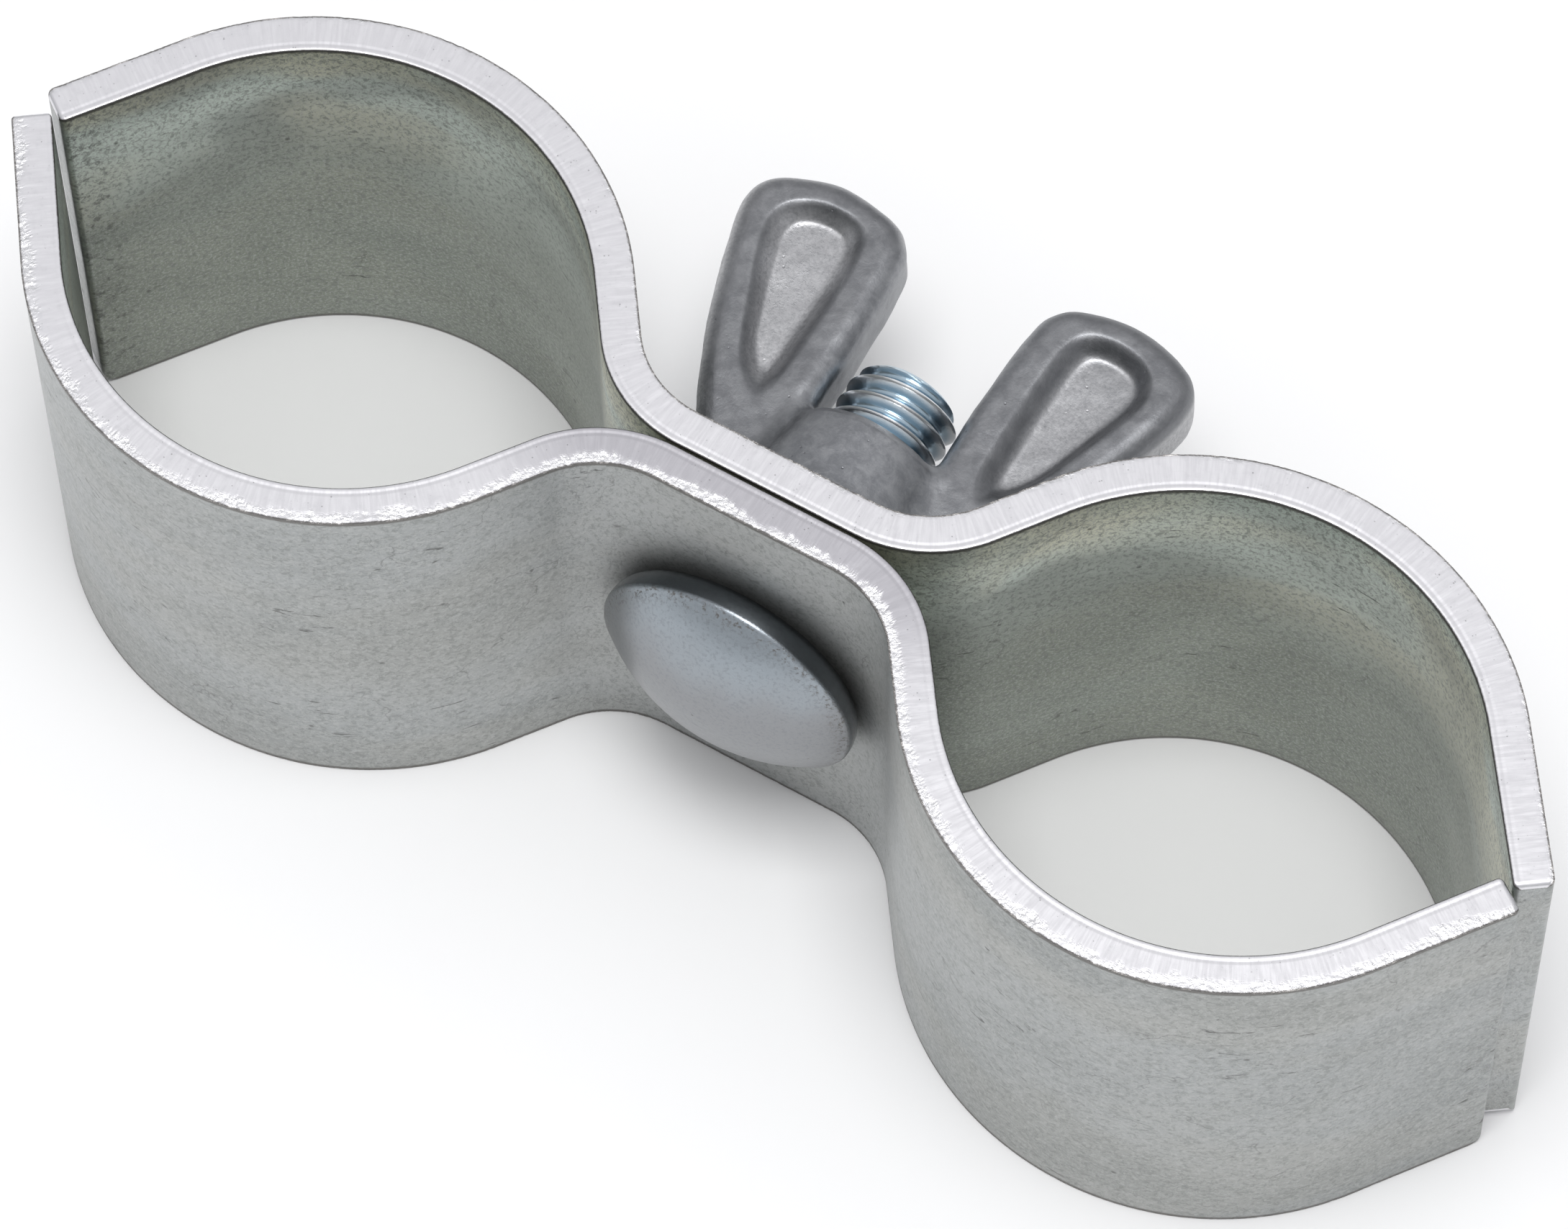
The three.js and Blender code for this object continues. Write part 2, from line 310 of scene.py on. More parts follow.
def strap_mesh(seed, tear_width):
    """The front strap: vertices, faces, which faces are cut edges, and each vertex's place and tear."""
    left = half_path(LONG_END)
    right = half_path(SHORT_END)
    left[:, :2] *= -1
    left[:, 3] *= -1
    stations = np.vstack([left[::-1], right[1:]])
    depths = np.concatenate([RIM_DEPTHS, np.linspace(CORE_START, STRAP_THICKNESS, CORE_STEPS)])
    # Rows of vertices up the faces; the middle three span the square hole.
    columns = [6, 12, STRAP_WIDTH / 2 - HOLE_HALF, STRAP_WIDTH / 2, STRAP_WIDTH / 2 + HOLE_HALF, 33, 39]
    across = len(depths) - 1
    up = len(columns) + 1

    def point(row, depth, z):
        _, x, y, heading, reach = row
        middle = STRAP_THICKNESS / 2
        inset = corner_inset(reach + END_ROUND - LOWER_CORNER_RADIUS, END_ROUND)
        depth = middle + (depth - middle) * (1 - inset / middle)
        return x - depth * math.sin(heading), FRONT_FACE_Y - y - depth * math.cos(heading), z

    vertices = []
    place = []
    tear = []

    def add(row, depth, z, torn=0.0):
        vertices.append(point(row, depth, z))
        place.append((row[0], depth, z))
        tear.append(torn)

    for row in stations:
        low = corner_inset(row[4], LOWER_CORNER_RADIUS)
        upper_reach = row[4] + UPPER_CORNER_RADIUS - LOWER_CORNER_RADIUS
        high = STRAP_WIDTH - corner_inset(upper_reach, UPPER_CORNER_RADIUS)
        top = [sheared_edge(row[0], d, seed, tear_width) for d in depths]
        bottom = [sheared_edge(row[0], d, seed + 50, tear_width) for d in depths]
        high_z = [high - drop for drop, _ in top]
        low_z = [low + drop for drop, _ in bottom]
        for z in [low_z[0], *columns, high_z[0]]:
            add(row, 0, z)
        for d, z, (_, torn) in zip(depths[1:-1], high_z[1:-1], top[1:-1]):
            add(row, d, z, torn)
        for z in [high_z[-1], *columns[::-1], low_z[-1]]:
            add(row, STRAP_THICKNESS, z, 1.0 if z in (high_z[-1], low_z[-1]) else 0.0)
        for d, z, (_, torn) in zip(depths[-2:0:-1], low_z[-2:0:-1], bottom[-2:0:-1]):
            add(row, d, z, torn)

    # Each station is one ring of vertices: up the inner face, over, down the outer face and back under.
    ring = 2 * (up + across)
    hole_columns = (3, 4)
    faces = []
    is_edge = []
    in_hole = np.abs(stations[:, 0]) < HOLE_HALF + 1e-6
    for k in range(len(stations) - 1):
        over_hole = in_hole[k] and in_hole[k + 1]
        for i in range(ring):
            inner = i < up
            outer = up + across <= i < 2 * up + across
            column = i if inner else 2 * up + across - 1 - i
            if over_hole and (inner or outer) and column in hole_columns:
                continue
            j = (i + 1) % ring
            faces.append((k * ring + i, k * ring + j, (k + 1) * ring + j, (k + 1) * ring + i))
            is_edge.append(not (inner or outer))

    def inner_at(k, i):
        return k * ring + i

    def outer_at(k, i):
        return k * ring + 2 * up + across - i

    # The square hole's four walls.
    hole = np.flatnonzero(in_hole)
    first, last = hole[0], hole[-1]
    low_i, high_i = hole_columns[0], hole_columns[-1] + 1
    rim = [(k, low_i) for k in range(first, last)] + [(last, i) for i in range(low_i, high_i)]
    rim += [(k, high_i) for k in range(last, first, -1)] + [(first, i) for i in range(high_i, low_i, -1)]
    for a, b in zip(rim, rim[1:] + rim[:1]):
        faces.append((inner_at(*a), inner_at(*b), outer_at(*b), outer_at(*a)))
        is_edge.append(True)

    # The two end faces, each a grid between the last ring's four sides.
    for k, turned in ((0, False), (len(stations) - 1, True)):
        row = stations[k]
        grid = np.empty((across + 1, up + 1), int)
        grid[0] = [inner_at(k, i) for i in range(up + 1)]
        grid[across] = [outer_at(k, i) for i in range(up + 1)]
        for j in range(1, across):
            grid[j, up] = k * ring + up + j
            grid[j, 0] = k * ring + ring - j
            for i in range(1, up):
                grid[j, i] = len(vertices)
                add(row, depths[j], columns[i - 1])
        for j in range(across):
            for i in range(up):
                quad = (grid[j, i], grid[j, i + 1], grid[j + 1, i + 1], grid[j + 1, i])
                faces.append(quad[::-1] if turned else quad)
                is_edge.append(False)
    faces = [tuple(int(i) for i in f) for f in faces]
    return np.array(vertices), faces, is_edge, place, tear


def add_attribute(mesh, name, values):
    """One number for each vertex, under a name that a material can read."""
    made = mesh.attributes.new(name, "FLOAT", "POINT")
    made.data.foreach_set("value", np.array(values, np.float32))


def strap(name, node, body, seed, tear_width, turned, materials):
    """One strap, with the attributes its materials read."""
    vertices, faces, is_edge, place, tear = strap_mesh(seed, tear_width)
    if turned:
        vertices = vertices * (-1, -1, 1) + (0, FRONT_FACE_Y + BACK_FACE_Y, 0)
    piece = make_piece(name, vertices, faces, body, node, materials)
    mesh = piece.data
    mesh.polygons.foreach_set("material_index", np.array(is_edge, np.int32))
    where = mesh.attributes.new("place", "FLOAT_VECTOR", "POINT")
    where.data.foreach_set("vector", (np.array(place, np.float32) + (seed, 0, 0)).ravel())
    along = np.array(place)[:, 0]
    add_attribute(mesh, "from_end", np.minimum(along - along.min(), along.max() - along))
    add_attribute(mesh, "tear", tear)


# ---------------------------------------------------------------- bolt

def head_profile():
    """The head as rows of radius and height above its seat, from the dome's top to the neck."""
    rise = HEAD_SEAT_Y - HEAD_APEX_Y
    shoulder_radius = HEAD_RADIUS - 0.32
    shoulder_height = 3.2
    sag = rise - shoulder_height
    dome_radius = (shoulder_radius**2 + sag**2) / (2 * sag)
    dome = []
    for angle in np.linspace(0, math.asin(shoulder_radius / dome_radius), 40):
        dome.append((dome_radius * math.sin(angle), rise - dome_radius * (1 - math.cos(angle))))
    band = [
        (HEAD_RADIUS - 0.14, 3.08), (HEAD_RADIUS - 0.03, 2.9), (HEAD_RADIUS, 2.66),
        (HEAD_RADIUS - 0.02, 2.2), (HEAD_RADIUS - 0.12, 1.7), (HEAD_RADIUS - 0.34, 1.2),
        (HEAD_RADIUS - 0.7, 0.75), (HEAD_RADIUS - 1.3, 0.38), (HEAD_RADIUS - 2.2, 0.12),
        (HEAD_RADIUS - 4, 0), (NECK_HALF * 1.5, 0),
    ]
    return dome + band


def thread_radius(height):
    """The thread's radius at heights along a line on the bolt, where a crest is at height 0."""
    from_crest = np.abs((height / PITCH + 0.5) % 1 - 0.5) * PITCH
    flank = MAJOR_RADIUS - np.maximum(0, from_crest - 0.07) / math.tan(math.radians(30))
    root = MINOR_RADIUS + 0.25 * (PITCH / 2 - from_crest) ** 2
    blend = 0.16
    h = np.clip(0.5 + 0.5 * (flank - root) / blend, 0, 1)
    return flank * h + root * (1 - h) + blend * h * (1 - h)


def bolt_rings():
    """Rings of points from the head's top to the thread's end, and how many come before the thread."""
    angle = np.arange(ROUND_STEPS) * 2 * math.pi / ROUND_STEPS
    rings = []

    def ring(radius, y):
        rings.append(np.stack([radius * np.cos(angle), y + 0 * angle, radius * np.sin(angle)], 1))

    for radius, height in head_profile()[1:]:
        ring(radius, HEAD_SEAT_Y - height)
    straight = NECK_HALF / np.maximum(np.abs(np.cos(angle)), np.abs(np.sin(angle)))
    square = np.minimum(straight, math.sqrt(2) * NECK_HALF - NECK_CORNER * (math.sqrt(2) - 1))
    ring(square, HEAD_SEAT_Y)
    ring(square, NECK_END_Y - 0.3)
    ring(square - 0.3, NECK_END_Y)
    ring(SHANK_RADIUS, NECK_END_Y)
    ring(SHANK_RADIUS, THREAD_START_Y)
    before_thread = len(rings)

    lead = (math.pi / 2 - angle) * PITCH / (2 * math.pi)
    first = math.floor((THREAD_START_Y - CREST_AT_TOP_Y) / PITCH - 1) * THREAD_ROWS
    last = math.ceil((BOLT_END_Y - CREST_AT_TOP_Y) / PITCH + 1) * THREAD_ROWS
    for row in range(first, last):
        y = np.clip(CREST_AT_TOP_Y + row * PITCH / THREAD_ROWS + lead, THREAD_START_Y, BOLT_END_Y)
        run_in = np.clip((y - THREAD_START_Y) / 0.8, 0, 1)
        radius = SHANK_RADIUS * (1 - run_in) + thread_radius(y - CREST_AT_TOP_Y - lead) * run_in
        chamfer = MAJOR_RADIUS + 0.05 - np.maximum(0, y - (BOLT_END_Y - END_CHAMFER))
        ring(np.minimum(radius, chamfer), y)
    return rings, before_thread


def bolt(materials):
    """The bolt as one mesh; the thread's rings climb one pitch a turn."""
    rings, before_thread = bolt_rings()
    count = len(rings)
    faces = []

    def at(k, i):
        if i < ROUND_STEPS:
            return k * ROUND_STEPS + i
        if k < before_thread:
            return k * ROUND_STEPS
        # Past the last column the thread has risen one turn.
        return max(k - THREAD_ROWS, before_thread) * ROUND_STEPS

    for k in range(count - 1):
        for i in range(ROUND_STEPS):
            faces.append((at(k, i), at(k, i + 1), at(k + 1, i + 1), at(k + 1, i)))
    vertices = np.vstack(rings + [[[0, HEAD_APEX_Y, 0], [0, BOLT_END_Y - 0.15, 0]]])
    apex = len(vertices) - 2
    tip = len(vertices) - 1
    for i in range(ROUND_STEPS):
        j = (i + 1) % ROUND_STEPS
        faces.append((apex, j, i))
        faces.append((tip, (count - 1) * ROUND_STEPS + i, (count - 1) * ROUND_STEPS + j))
    vertices = vertices + (0, 0, BOLT_AXIS_Z)
    make_piece(
        "bolt_plated", vertices, faces, "front_half", "carriage_bolt", materials
    )


# ---------------------------------------------------------------- wing nut

def smooth_union(a, b, blend):
    """The distance to two shapes joined with a fillet."""
    h = np.clip(0.5 + 0.5 * (b - a) / blend, 0, 1)
    return b * (1 - h) + a * h - blend * h * (1 - h)


def distance_to_outline(x, y, outline):
    """The signed distance from each point to a closed outline, negative inside."""
    x, y = np.broadcast_arrays(x, y)
    nearest = np.full(x.shape, np.inf)
    inside = np.zeros(x.shape, bool)
    for (ax, ay), (bx, by) in zip(outline, np.roll(outline, -1, axis=0)):
        ex, ey = bx - ax, by - ay
        t = np.clip(((x - ax) * ex + (y - ay) * ey) / (ex * ex + ey * ey), 0, 1)
        nearest = np.minimum(nearest, np.hypot(x - ax - t * ex, y - ay - t * ey))
        if ey:
            crosses = ((ay > y) != (by > y)) & (x < ax + (y - ay) * ex / ey)
            inside ^= crosses
    return np.where(inside, -nearest, nearest)


def rounded_meet(a, b, radius):
    """The distance to a shape bounded by two others, with a round edge where they meet."""
    a, b = a + radius, b + radius
    return np.minimum(np.maximum(a, b), 0) + np.hypot(np.maximum(a, 0), np.maximum(b, 0)) - radius


def casting_unevenness(x, y, z):
    """Smooth low waves, in millimetres, such as a casting's skin has."""
    draw = np.random.default_rng(11)
    total = np.zeros(np.broadcast(x, y, z).shape)
    for wave in (9.0, 6.0, 4.0, 3.0, 2.2, 1.7):
        for _ in range(4):
            kx, ky, kz = draw.normal(size=3) * 2 * math.pi / wave / 1.7
            total += wave * 0.002 * np.sin(kx * x + ky * y + kz * z + draw.uniform(0, 2 * math.pi))
    return total


def nut_field(x, y, z):
    """The signed distance to the wing nut, in millimetres; y is the height above its seat."""
    radius = np.hypot(x, z)
    hub_outline = np.array([
        (-1, 0),
        (HUB_BASE_RADIUS - 1.3, 0),
        (HUB_BASE_RADIUS - 0.2, 0.9),
        (HUB_BASE_RADIUS - 0.3, 2.2),
        (HUB_TOP_RADIUS + 1.1, 7),
        (HUB_TOP_RADIUS + 0.1, HUB_HEIGHT - 0.9),
        (HUB_TOP_RADIUS - 0.7, HUB_HEIGHT),
        (-1, HUB_HEIGHT),
    ])
    hub = distance_to_outline(radius, y, hub_outline)

    outline = np.vstack([WING_ROOT, spline(WING_OUTLINE, 6)])
    side = np.abs(x)
    plan = distance_to_outline(side, y, outline)
    from_floor = np.maximum(distance_to_outline(side, y, spline(POCKET_FLOOR, 5, closed=True)), 0)
    from_lip = np.maximum(-distance_to_outline(side, y, spline(POCKET_LIP, 5, closed=True)), 0)
    sunk = from_lip / (from_floor + from_lip + 1e-9)
    half = WING_HALF_THICKNESS - POCKET_DEPTH * sunk * sunk * (3 - 2 * sunk)
    wings = rounded_meet(plan, np.abs(z) - half, WING_ROUND)

    body = smooth_union(hub, wings, HUB_BLEND)
    body = body + casting_unevenness(x, y, z)
    return np.maximum(np.maximum(body, -y), BORE_RADIUS - radius)


def wing_nut(materials):
    """The casting, meshed from its distance field and kept inside the CAD node's box."""
    reach = np.array([nut_high[0] + 1, 0, WING_HALF_THICKNESS + 8])
    low = np.array([-reach[0], -1, -reach[2]])
    extent = np.array([2 * reach[0], nut_high[1] - SEAT_Y + 2, 2 * reach[2]])
    steps = np.ceil(extent / NUT_VOXEL).astype(int)
    axes = [low[i] + NUT_VOXEL * np.arange(steps[i]) for i in range(3)]
    x, y, z = np.meshgrid(*axes, indexing="ij", sparse=True)
    field = np.clip(nut_field(x, y, z), -2, 2)
    grid = openvdb.FloatGrid(2.0)
    grid.copyFromArray(field.astype(np.float32))
    points, triangles, quads = grid.convertToPolygons(isovalue=0.0, adaptivity=0.0)
    vertices = np.asarray(points, float) * NUT_VOXEL + low
    widest = nut_high[0] - 0.01
    top = nut_high[1] - SEAT_Y
    vertices = np.clip(vertices, (-widest, 0, -widest), (widest, top, widest))
    faces = [tuple(int(i) for i in f) for f in list(triangles) + list(quads)]
    turn = np.array(Matrix.Rotation(NUT_TURN, 3, "Y"))
    vertices = vertices @ turn.T + (0, SEAT_Y, BOLT_AXIS_Z)
    make_piece("nut_casting", vertices, faces, "nut", "wing_nut", materials)


# ---------------------------------------------------------------- materials

class Shading:
    """One material's node tree, with short calls for the nodes used here. Lengths in it are millimetres."""

    def __init__(self, name):
        self.material = bpy.data.materials.new(name)
        self.material.use_nodes = True
        self.tree = self.material.node_tree
        self.surface = self.tree.nodes["Principled BSDF"]

    def add(self, kind, inputs=(), **settings):
        made = self.tree.nodes.new(kind)
        for key, value in settings.items():
            setattr(made, key, value)
        for key, value in dict(inputs).items():
            if isinstance(value, bpy.types.NodeSocket):
                self.tree.links.new(value, made.inputs[key])
            else:
                made.inputs[key].default_value = value
        return made

    def math(self, operation, a, b=0.0, clamp=False):
        made = self.add("ShaderNodeMath", {0: a, 1: b}, operation=operation, use_clamp=clamp)
        return made.outputs[0]

    def plus(self, a, b):
        return self.math("ADD", a, b)

    def minus(self, a, b):
        return self.math("SUBTRACT", a, b)

    def times(self, a, b, clamp=False):
        return self.math("MULTIPLY", a, b, clamp)

    def object_place(self):
        coordinates = self.add("ShaderNodeTexCoord").outputs["Object"]
        inputs = {0: coordinates, "Scale": 1 / MM}
        return self.add("ShaderNodeVectorMath", inputs, operation="SCALE").outputs[0]

    def attribute(self, name, output="Fac"):
        return self.add("ShaderNodeAttribute", attribute_name=name).outputs[output]

    def axes(self, place):
        return self.add("ShaderNodeSeparateXYZ", {0: place}).outputs

    def stretched(self, place, scale):
        return self.add("ShaderNodeVectorMath", {0: place, 1: scale}, operation="MULTIPLY").outputs[0]

    def noise(self, place, scale, detail=3.0, roughness=0.55, distortion=0.0, output="Fac"):
        inputs = {
            "Vector": place,
            "Scale": scale,
            "Detail": detail,
            "Roughness": roughness,
            "Distortion": distortion,
        }
        return self.add("ShaderNodeTexNoise", inputs).outputs[output]

    def cells(self, place, scale, feature="F1"):
        inputs = {"Vector": place, "Scale": scale}
        return self.add("ShaderNodeTexVoronoi", inputs, feature=feature).outputs["Distance"]

    def band(self, value, start, end, low=0.0, high=1.0):
        """A value from low to high as another goes from start to end."""
        inputs = {"Value": value, "From Min": start, "From Max": end, "To Min": low, "To Max": high}
        return self.add("ShaderNodeMapRange", inputs, interpolation_type="SMOOTHSTEP").outputs[0]

    def mix(self, share, a, b):
        made = self.add("ShaderNodeMix", data_type="RGBA")
        for socket, value in ((made.inputs[0], share), (made.inputs[6], a), (made.inputs[7], b)):
            if isinstance(value, bpy.types.NodeSocket):
                self.tree.links.new(value, socket)
            else:
                socket.default_value = value if socket == made.inputs[0] else (*value, 1)
        return made.outputs[2]

    def bump(self, height, depth, before=None):
        inputs = {"Height": height, "Distance": depth * MM, "Strength": 1.0}
        if before:
            inputs["Normal"] = before
        return self.add("ShaderNodeBump", inputs).outputs[0]

    def finish(self, colour, roughness, normal, metallic=1.0):
        for key, value in (("Base Color", colour), ("Roughness", roughness), ("Normal", normal)):
            self.tree.links.new(value, self.surface.inputs[key])
        self.surface.inputs["Metallic"].default_value = metallic
        return self.material


def scuffs(m, place):
    """Short dents along the strap, gathered in zones."""
    dents = m.noise(m.stretched(place, (0.35, 1, 1.4)), 0.9, 4, 0.6, 0.8)
    zone = m.noise(place, 0.1, 3, 0.6)
    return m.times(m.band(dents, 0.62, 0.69), m.band(zone, 0.5, 0.62), True)


def hairlines(m, place):
    """Thin wandering scratches, gathered in zones."""
    wander = m.noise(place, 0.35, 4, 0.5, output="Color")
    shift = m.stretched(wander, (5, 5, 5))
    bent = m.add("ShaderNodeVectorMath", {0: place, 1: shift}, operation="ADD").outputs[0]
    hair = m.band(m.cells(bent, 0.1, "DISTANCE_TO_EDGE"), 0.0, 0.012, 1, 0)
    return m.times(hair, m.band(m.noise(place, 0.16, 3, 0.6), 0.5, 0.62))


def strap_zinc(m, place, inside, pressed_and_sheen, cloud, grain, specks):
    """The plate's colour: cool and warm patches, clouds, pale grain and dark specks, with painted light and
    shade on the inner faces and a painted sheen on the flat round the bolt.
    """
    height = m.axes(place)[2]
    tint = m.noise(m.stretched(place, (0.7, 1, 1.6)), 0.045, 3, 0.5, 0.5)
    outer_tone = m.mix(m.band(tint, 0.4, 0.62), OUTER_COOL, OUTER_WARM)
    inner_tone = m.mix(m.band(tint, 0.42, 0.58), INNER_TEAL, INNER_OLIVE)
    colour = m.mix(inside, outer_tone, inner_tone)
    cloud_share = m.plus(0.3, m.times(inside, 0.25))
    colour = m.mix(m.times(m.band(cloud, 0.4, 0.68), cloud_share), colour, STRAP_DARK)
    # Painted sheen: the flat round the bolt is painted lighter.
    colour = m.mix(m.times(pressed_and_sheen, 0.35), colour, STRAP_PAINTED_SHEEN)
    # Painted shade: the inner faces darken towards their lower part. Their teal and olive are the plate's
    # own tints, set brighter than the outer faces as painted light.
    lower_inside_shade = m.times(m.band(height, 20, 44, 1, 0), inside)
    colour = m.mix(m.times(lower_inside_shade, 0.92), colour, INNER_LOWER_SHADE)
    colour = m.mix(m.band(grain, 0.46, 0.62, 0, 0.6), colour, STRAP_PALE)
    speck_share = m.plus(0.45, m.times(inside, 0.2))
    return m.mix(m.times(m.band(specks, 0.48, 0.6), speck_share), colour, STRAP_SPECK)


def strap_face_material():
    """Satin zinc over rolled steel, with scuffs, hairlines, pits and stained ends, a painted sheen round
    the bolt and painted shade lines along the borders.
    """
    m = Shading("zinc_strap_face")
    place = m.attribute("place", "Vector")
    _, depth, height = m.axes(place)
    from_end = m.attribute("from_end")
    inside = m.times(m.band(depth, 1.0, 2.0, 1, 0), m.band(from_end, 0.02, 0.4))
    # The pressed flat round the bolt: rougher, and painted lighter as a painted sheen.
    pressed_and_sheen = m.times(m.band(from_end, 62, 74), m.minus(1.0, inside))
    grain = m.noise(place, 3.4, 4, 0.75)
    specks = m.noise(place, 1.9, 5, 0.8, 0.6)
    cloud = m.noise(m.stretched(place, (0.8, 1, 1.3)), 0.05, 4, 0.55, 0.8)
    colour = strap_zinc(m, place, inside, pressed_and_sheen, cloud, grain, specks)

    scuff = scuffs(m, place)
    colour = m.mix(m.times(scuff, 0.7), colour, STRAP_SCUFF)
    colour = m.mix(m.times(hairlines(m, place), 0.4), colour, STRAP_SCUFF)
    pit_zone = m.band(m.noise(place, 0.2, 2, 0.5), 0.48, 0.58)
    pit = m.times(m.band(m.cells(place, 0.3), 0.03, 0.09, 1, 0), pit_zone)
    colour = m.mix(m.times(pit, 0.6), colour, STRAP_SCUFF)
    stains = m.times(m.band(m.noise(place, 0.8, 5, 0.75), 0.52, 0.62), m.band(from_end, 1.5, 5, 1, 0))
    stain = m.times(stains, m.plus(0.35, inside), True)
    colour = m.mix(m.times(stain, 0.6), colour, STRAP_SCUFF)
    # Painted shade: a thin dark line along the faces' top and bottom borders.
    near_edge = m.math("MINIMUM", height, m.minus(STRAP_WIDTH, height))
    line = m.band(m.plus(near_edge, m.times(grain, -0.35)), 0.15, 0.4, 1, 0)
    colour = m.mix(m.times(line, 0.75), colour, STRAP_EDGE_SHADE)

    roughness = m.plus(m.band(cloud, 0.35, 0.7, 0.4, 0.47), m.times(scuff, 0.1))
    roughness = m.plus(roughness, m.times(pressed_and_sheen, 0.12))
    waves = m.bump(m.noise(place, 0.12, 2, 0.4), 0.05)
    peel = m.bump(specks, -0.025, waves)
    fine = m.bump(grain, 0.008, peel)
    dents = m.bump(m.plus(m.times(scuff, -1.0), m.times(pit, -1.5)), 0.02, fine)
    return m.finish(colour, roughness, dents)


def strap_edge_material():
    """A sheared edge: a burnished band with faint lines across it, and a bright torn band."""
    m = Shading("zinc_strap_edge")
    place = m.attribute("place", "Vector")
    along, depth, _ = m.axes(place)
    tear = m.attribute("tear")
    lines = m.noise(m.stretched(place, (5, 0.3, 0.3)), 1.0, 3, 0.7)
    mottle = m.noise(place, 1.3, 4, 0.65)
    crystals = m.noise(place, 3.6, 3, 0.7)
    # Near the bolt the front strap's edge is rubbed duller.
    from_bolt = m.math("ABSOLUTE", m.minus(along, FRONT_SEED))
    rubbed = m.times(m.band(from_bolt, 15, 27, 1, 0), m.minus(1.0, tear))
    colour = m.mix(m.band(lines, 0.35, 0.75, 0, 0.3), EDGE_LILAC, EDGE_PALE)
    colour = m.mix(m.times(rubbed, 0.85), colour, EDGE_RUBBED)
    colour = m.mix(m.band(mottle, 0.5, 0.75, 0, 0.3), colour, EDGE_DULL)
    colour = m.mix(m.times(tear, m.band(crystals, 0.3, 0.6, 0.3, 1)), colour, EDGE_BRIGHT)
    pit = m.times(m.band(m.cells(place, 2.2), 0.08, 0.2, 1, 0), m.band(mottle, 0.5, 0.62), True)
    colour = m.mix(m.times(pit, 0.5), colour, STRAP_SCUFF)
    # Painted shade: a thin dark line where the cut edge meets each face.
    border = m.math("MINIMUM", m.times(depth, 1.4), m.minus(STRAP_THICKNESS, depth))
    line = m.band(m.plus(border, m.times(crystals, -0.25)), -0.06, 0.1, 1, 0)
    colour = m.mix(m.times(line, 0.85), colour, STRAP_EDGE_SHADE)
    roughness = m.plus(m.band(lines, 0.3, 0.7, 0.28, 0.36), m.times(tear, 0.06))
    burnish = m.bump(lines, 0.003)
    broken = m.bump(m.times(tear, crystals), 0.09, burnish)
    return m.finish(colour, roughness, broken)


def bolt_material():
    """Blue-white zinc plate: a satin domed head with worn specks at its crease and painted light on its
    top, a side band painted dark as a painted reflection, and a shinier thread with painted highlights on
    its crests.
    """
    m = Shading("zinc_bolt")
    place = m.object_place()
    x, y, z = m.axes(place)
    above_axis = m.minus(z, BOLT_AXIS_Z)
    radius = m.math("SQRT", m.plus(m.times(x, x), m.times(above_axis, above_axis)))
    height = m.minus(HEAD_SEAT_Y, y)
    grain = m.noise(place, 3.0, 4, 0.65)
    cloud = m.noise(place, 0.22, 3, 0.5)
    # Painted light: the head's upper part is painted lighter and bluer, as if lit from above.
    painted_top_light = m.band(m.plus(above_axis, m.times(cloud, 6.0)), 5, 13)
    colour = m.mix(painted_top_light, HEAD_PALE, HEAD_TOP_PAINTED_LIGHT)
    colour = m.mix(m.band(grain, 0.48, 0.66, 0, 0.4), colour, HEAD_DULL)

    crease = m.times(m.band(radius, HEAD_RADIUS - 1.6, HEAD_RADIUS - 0.3), m.band(height, 2.6, 3.2))
    worn = m.times(crease, m.band(m.noise(place, 2.4, 4, 0.7), 0.5, 0.66), True)
    colour = m.mix(m.times(worn, 0.75), colour, HEAD_WORN)
    speck_zone = m.band(m.noise(place, 0.5), 0.52, 0.6)
    specks = m.times(m.band(m.cells(place, 0.7), 0.04, 0.1, 1, 0), speck_zone, True)
    colour = m.mix(m.times(specks, 0.6), colour, HEAD_WORN)

    below_crease = m.band(height, 2.7, 3.1, 1, 0)
    side_band = m.times(below_crease, m.band(y, HEAD_SEAT_Y, HEAD_SEAT_Y + 0.3, 1, 0))
    # Painted reflection: the side band between the seat and the crease is painted near black, standing for
    # the dark reflection in its polish.
    colour = m.mix(m.times(side_band, 0.8), colour, HEAD_BAND_DARK_REFLECTION)
    thread = m.band(y, THREAD_START_Y - 0.2, THREAD_START_Y + 0.2)
    root = m.band(radius, MINOR_RADIUS + 0.2, MAJOR_RADIUS - 0.1, 1, 0)
    # Painted highlight: the thread's crests are painted almost white; the roots keep a bluish zinc.
    colour = m.mix(thread, colour, m.mix(root, THREAD_CREST_HIGHLIGHT, THREAD_ROOT))

    roughness = m.minus(0.36, m.times(m.plus(side_band, thread), 0.13))
    ring = m.times(m.band(radius, 1.7, 2.1), m.band(radius, 2.1, 2.6, 1, 0))
    mark = m.bump(m.times(ring, m.band(height, 3.0, 3.6)), 0.02)
    skin = m.bump(m.noise(place, 0.5, 3, 0.5), 0.05, mark)
    fine = m.bump(m.minus(grain, m.times(m.plus(worn, specks), 0.8)), 0.014, skin)
    return m.finish(colour, roughness, fine)


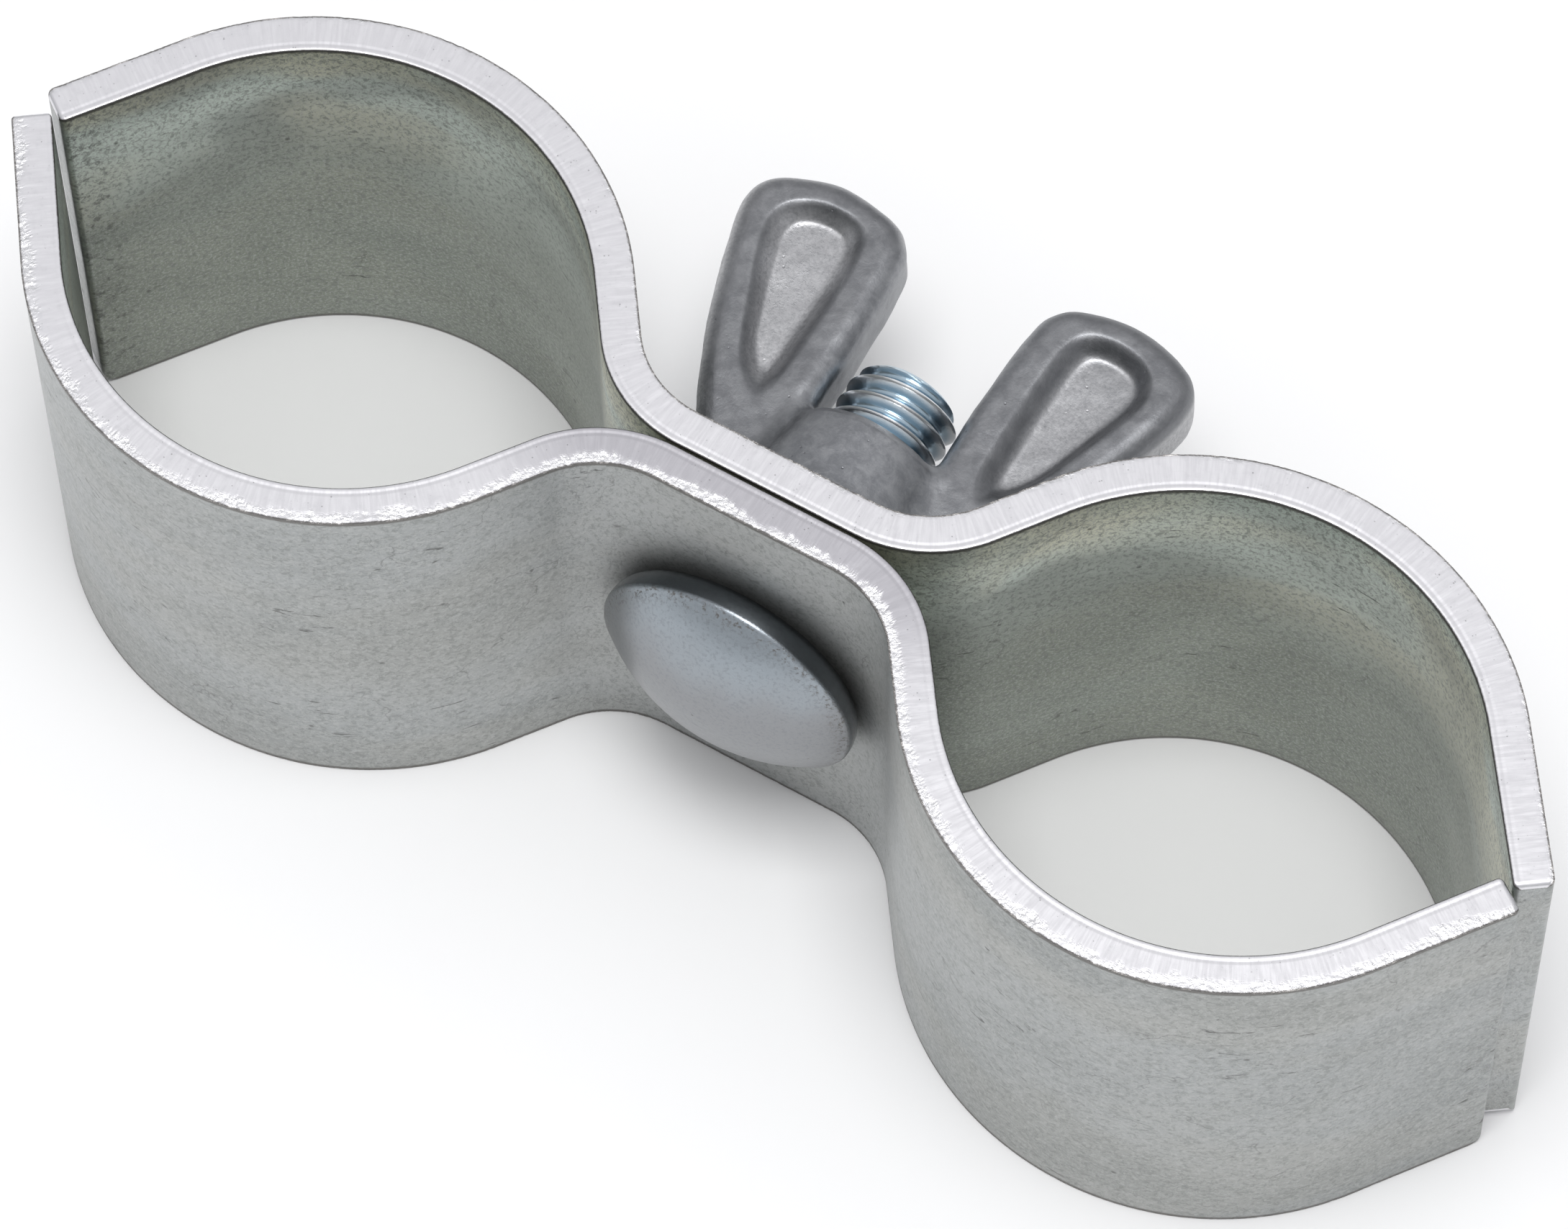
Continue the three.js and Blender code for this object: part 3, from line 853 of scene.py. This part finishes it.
def casting_material():
    """Dull die-cast zinc: mottled grey, small pores and a rough trimmed parting line, with the wings
    painted darker than the hub as painted shade and the pocket floors painted brighter as painted light.
    """
    m = Shading("cast_zinc_nut")
    place = m.object_place()
    x, _, z = m.axes(place)
    mottle = m.noise(place, 0.6, 6, 0.7, 0.4)
    grain = m.noise(place, 2.8, 5, 0.75)
    colour = m.mix(m.band(mottle, 0.36, 0.68), CAST_DARK, CAST_PALE)
    colour = m.mix(m.band(grain, 0.45, 0.8, 0, 0.25), colour, CAST_BRIGHT)
    pore_zone = m.band(m.noise(place, 0.35), 0.5, 0.62)
    pores = m.times(m.band(m.cells(place, 0.9), 0.05, 0.13, 1, 0), pore_zone, True)
    colour = m.mix(m.times(pores, 0.45), colour, CAST_PORE)

    off_line = m.math("ABSOLUTE", m.minus(z, BOLT_AXIS_Z))
    parting = m.band(m.plus(off_line, m.times(grain, 0.9)), 1.0, 1.8, 1, 0)
    clear_of_hub = m.band(m.math("ABSOLUTE", x), HUB_TOP_RADIUS - 1, HUB_TOP_RADIUS + 1)
    # Painted shade: the wings are painted darker than the hub, though they are one casting.
    colour = m.mix(m.times(clear_of_hub, 0.55), colour, CAST_WING_SHADE)
    # Brighter near the wings' mid-plane: painted light on the pocket floors, and the real bright band of
    # the trimmed side walls.
    pocket_light_and_trim = m.times(m.band(off_line, 1.75, 2.9, 1, 0), clear_of_hub)
    colour = m.mix(m.times(pocket_light_and_trim, m.band(grain, 0.3, 0.65, 0.35, 0.85)), colour, CAST_BRIGHT)

    skin = m.bump(mottle, 0.03)
    fine = m.bump(m.minus(grain, m.times(pores, 1.5)), 0.022, skin)
    trimmed = m.times(m.times(parting, clear_of_hub), m.noise(place, 1.8, 4, 0.7))
    return m.finish(colour, m.band(mottle, 0.3, 0.7, 0.36, 0.46), m.bump(trimmed, 0.12, fine))


def floor_material():
    """A matt, almost plain ground."""
    m = Shading("pale_floor")
    place = m.object_place()
    colour = m.mix(m.band(m.noise(place, 0.004, 2), 0.3, 0.7), FLOOR_PALE, FLOOR_PALER)
    roughness = m.band(m.noise(place, 0.02), 0.3, 0.7, 0.75, 0.85)
    return m.finish(colour, roughness, m.bump(m.noise(place, 0.5), 0.01), 0.0)


# ---------------------------------------------------------------- stage

def floor(material):
    """A wide level plane just under the part."""
    around = [(-1, -1), (1, -1), (1, 1), (-1, 1)]
    corners = [(x * FLOOR_HALF, y * FLOOR_HALF, FLOOR_Z) for x, y in around]
    mesh = bpy.data.meshes.new("floor")
    mesh.from_pydata([tuple(c * MM for c in corner) for corner in corners], [], [(0, 1, 2, 3)])
    mesh.materials.append(material)
    plane = bpy.data.objects.new("floor", mesh)
    bpy.context.scene.collection.objects.link(plane)


def direction(azimuth, elevation):
    """The unit vector from the part towards a viewer or lamp; azimuth turns from -Y towards +X."""
    level = math.cos(elevation)
    return Vector((level * math.sin(azimuth), -level * math.cos(azimuth), math.sin(elevation)))


def camera():
    """The picture's point of view."""
    aim = Vector(CAMERA_AIM) * MM
    towards = direction(CAMERA_AZIMUTH, CAMERA_ELEVATION)
    data = bpy.data.cameras.new("camera")
    data.lens = CAMERA_LENS
    data.sensor_width = 36
    data.clip_start = 0.01
    held = bpy.data.objects.new("camera", data)
    turn = towards.to_track_quat("Z", "Y").to_matrix().to_4x4() @ Matrix.Rotation(-CAMERA_ROLL, 4, "Z")
    held.matrix_world = Matrix.Translation(aim + towards * CAMERA_DISTANCE * MM) @ turn
    bpy.context.scene.collection.objects.link(held)
    bpy.context.scene.camera = held


def overhead_lamp():
    """A square area lamp that faces the part from nearly overhead, on the camera's side."""
    towards = direction(LAMP_AZIMUTH, LAMP_ELEVATION)
    data = bpy.data.lights.new("overhead", "AREA")
    data.shape = "SQUARE"
    data.size = LAMP_SIZE
    data.energy = LAMP_POWER
    lamp = bpy.data.objects.new("overhead", data)
    turn = towards.to_track_quat("Z", "Y").to_matrix().to_4x4()
    lamp.matrix_world = Matrix.Translation(towards * LAMP_DISTANCE) @ turn
    bpy.context.scene.collection.objects.link(lamp)


def surroundings():
    """A plain room: bright above, dimmer towards the horizon."""
    world = bpy.data.worlds.new("studio")
    world.use_nodes = True
    tree = world.node_tree
    background = tree.nodes["Background"]
    place = tree.nodes.new("ShaderNodeTexCoord")
    split = tree.nodes.new("ShaderNodeSeparateXYZ")
    ramp = tree.nodes.new("ShaderNodeValToRGB")
    tree.links.new(place.outputs["Generated"], split.inputs[0])
    tree.links.new(split.outputs["Z"], ramp.inputs[0])
    tree.links.new(ramp.outputs[0], background.inputs[0])
    low, high = ramp.color_ramp.elements
    low.position = 0.0
    low.color = (*SKY_LOW, 1)
    high.position = 0.85
    high.color = (*SKY_HIGH, 1)
    background.inputs[1].default_value = 1.0
    bpy.context.scene.world = world


camera()
surroundings()
overhead_lamp()
floor(floor_material())
steel = [strap_face_material(), strap_edge_material()]
strap("front_strap_steel", "front_strap", "front_half", FRONT_SEED, FRONT_TEAR, False, steel)
strap("back_strap_steel", "back_strap", "back_half", BACK_SEED, BACK_TEAR, True, steel)
bolt([bolt_material()])
wing_nut([casting_material()])
bpy.context.scene.view_settings.view_transform = "Standard"
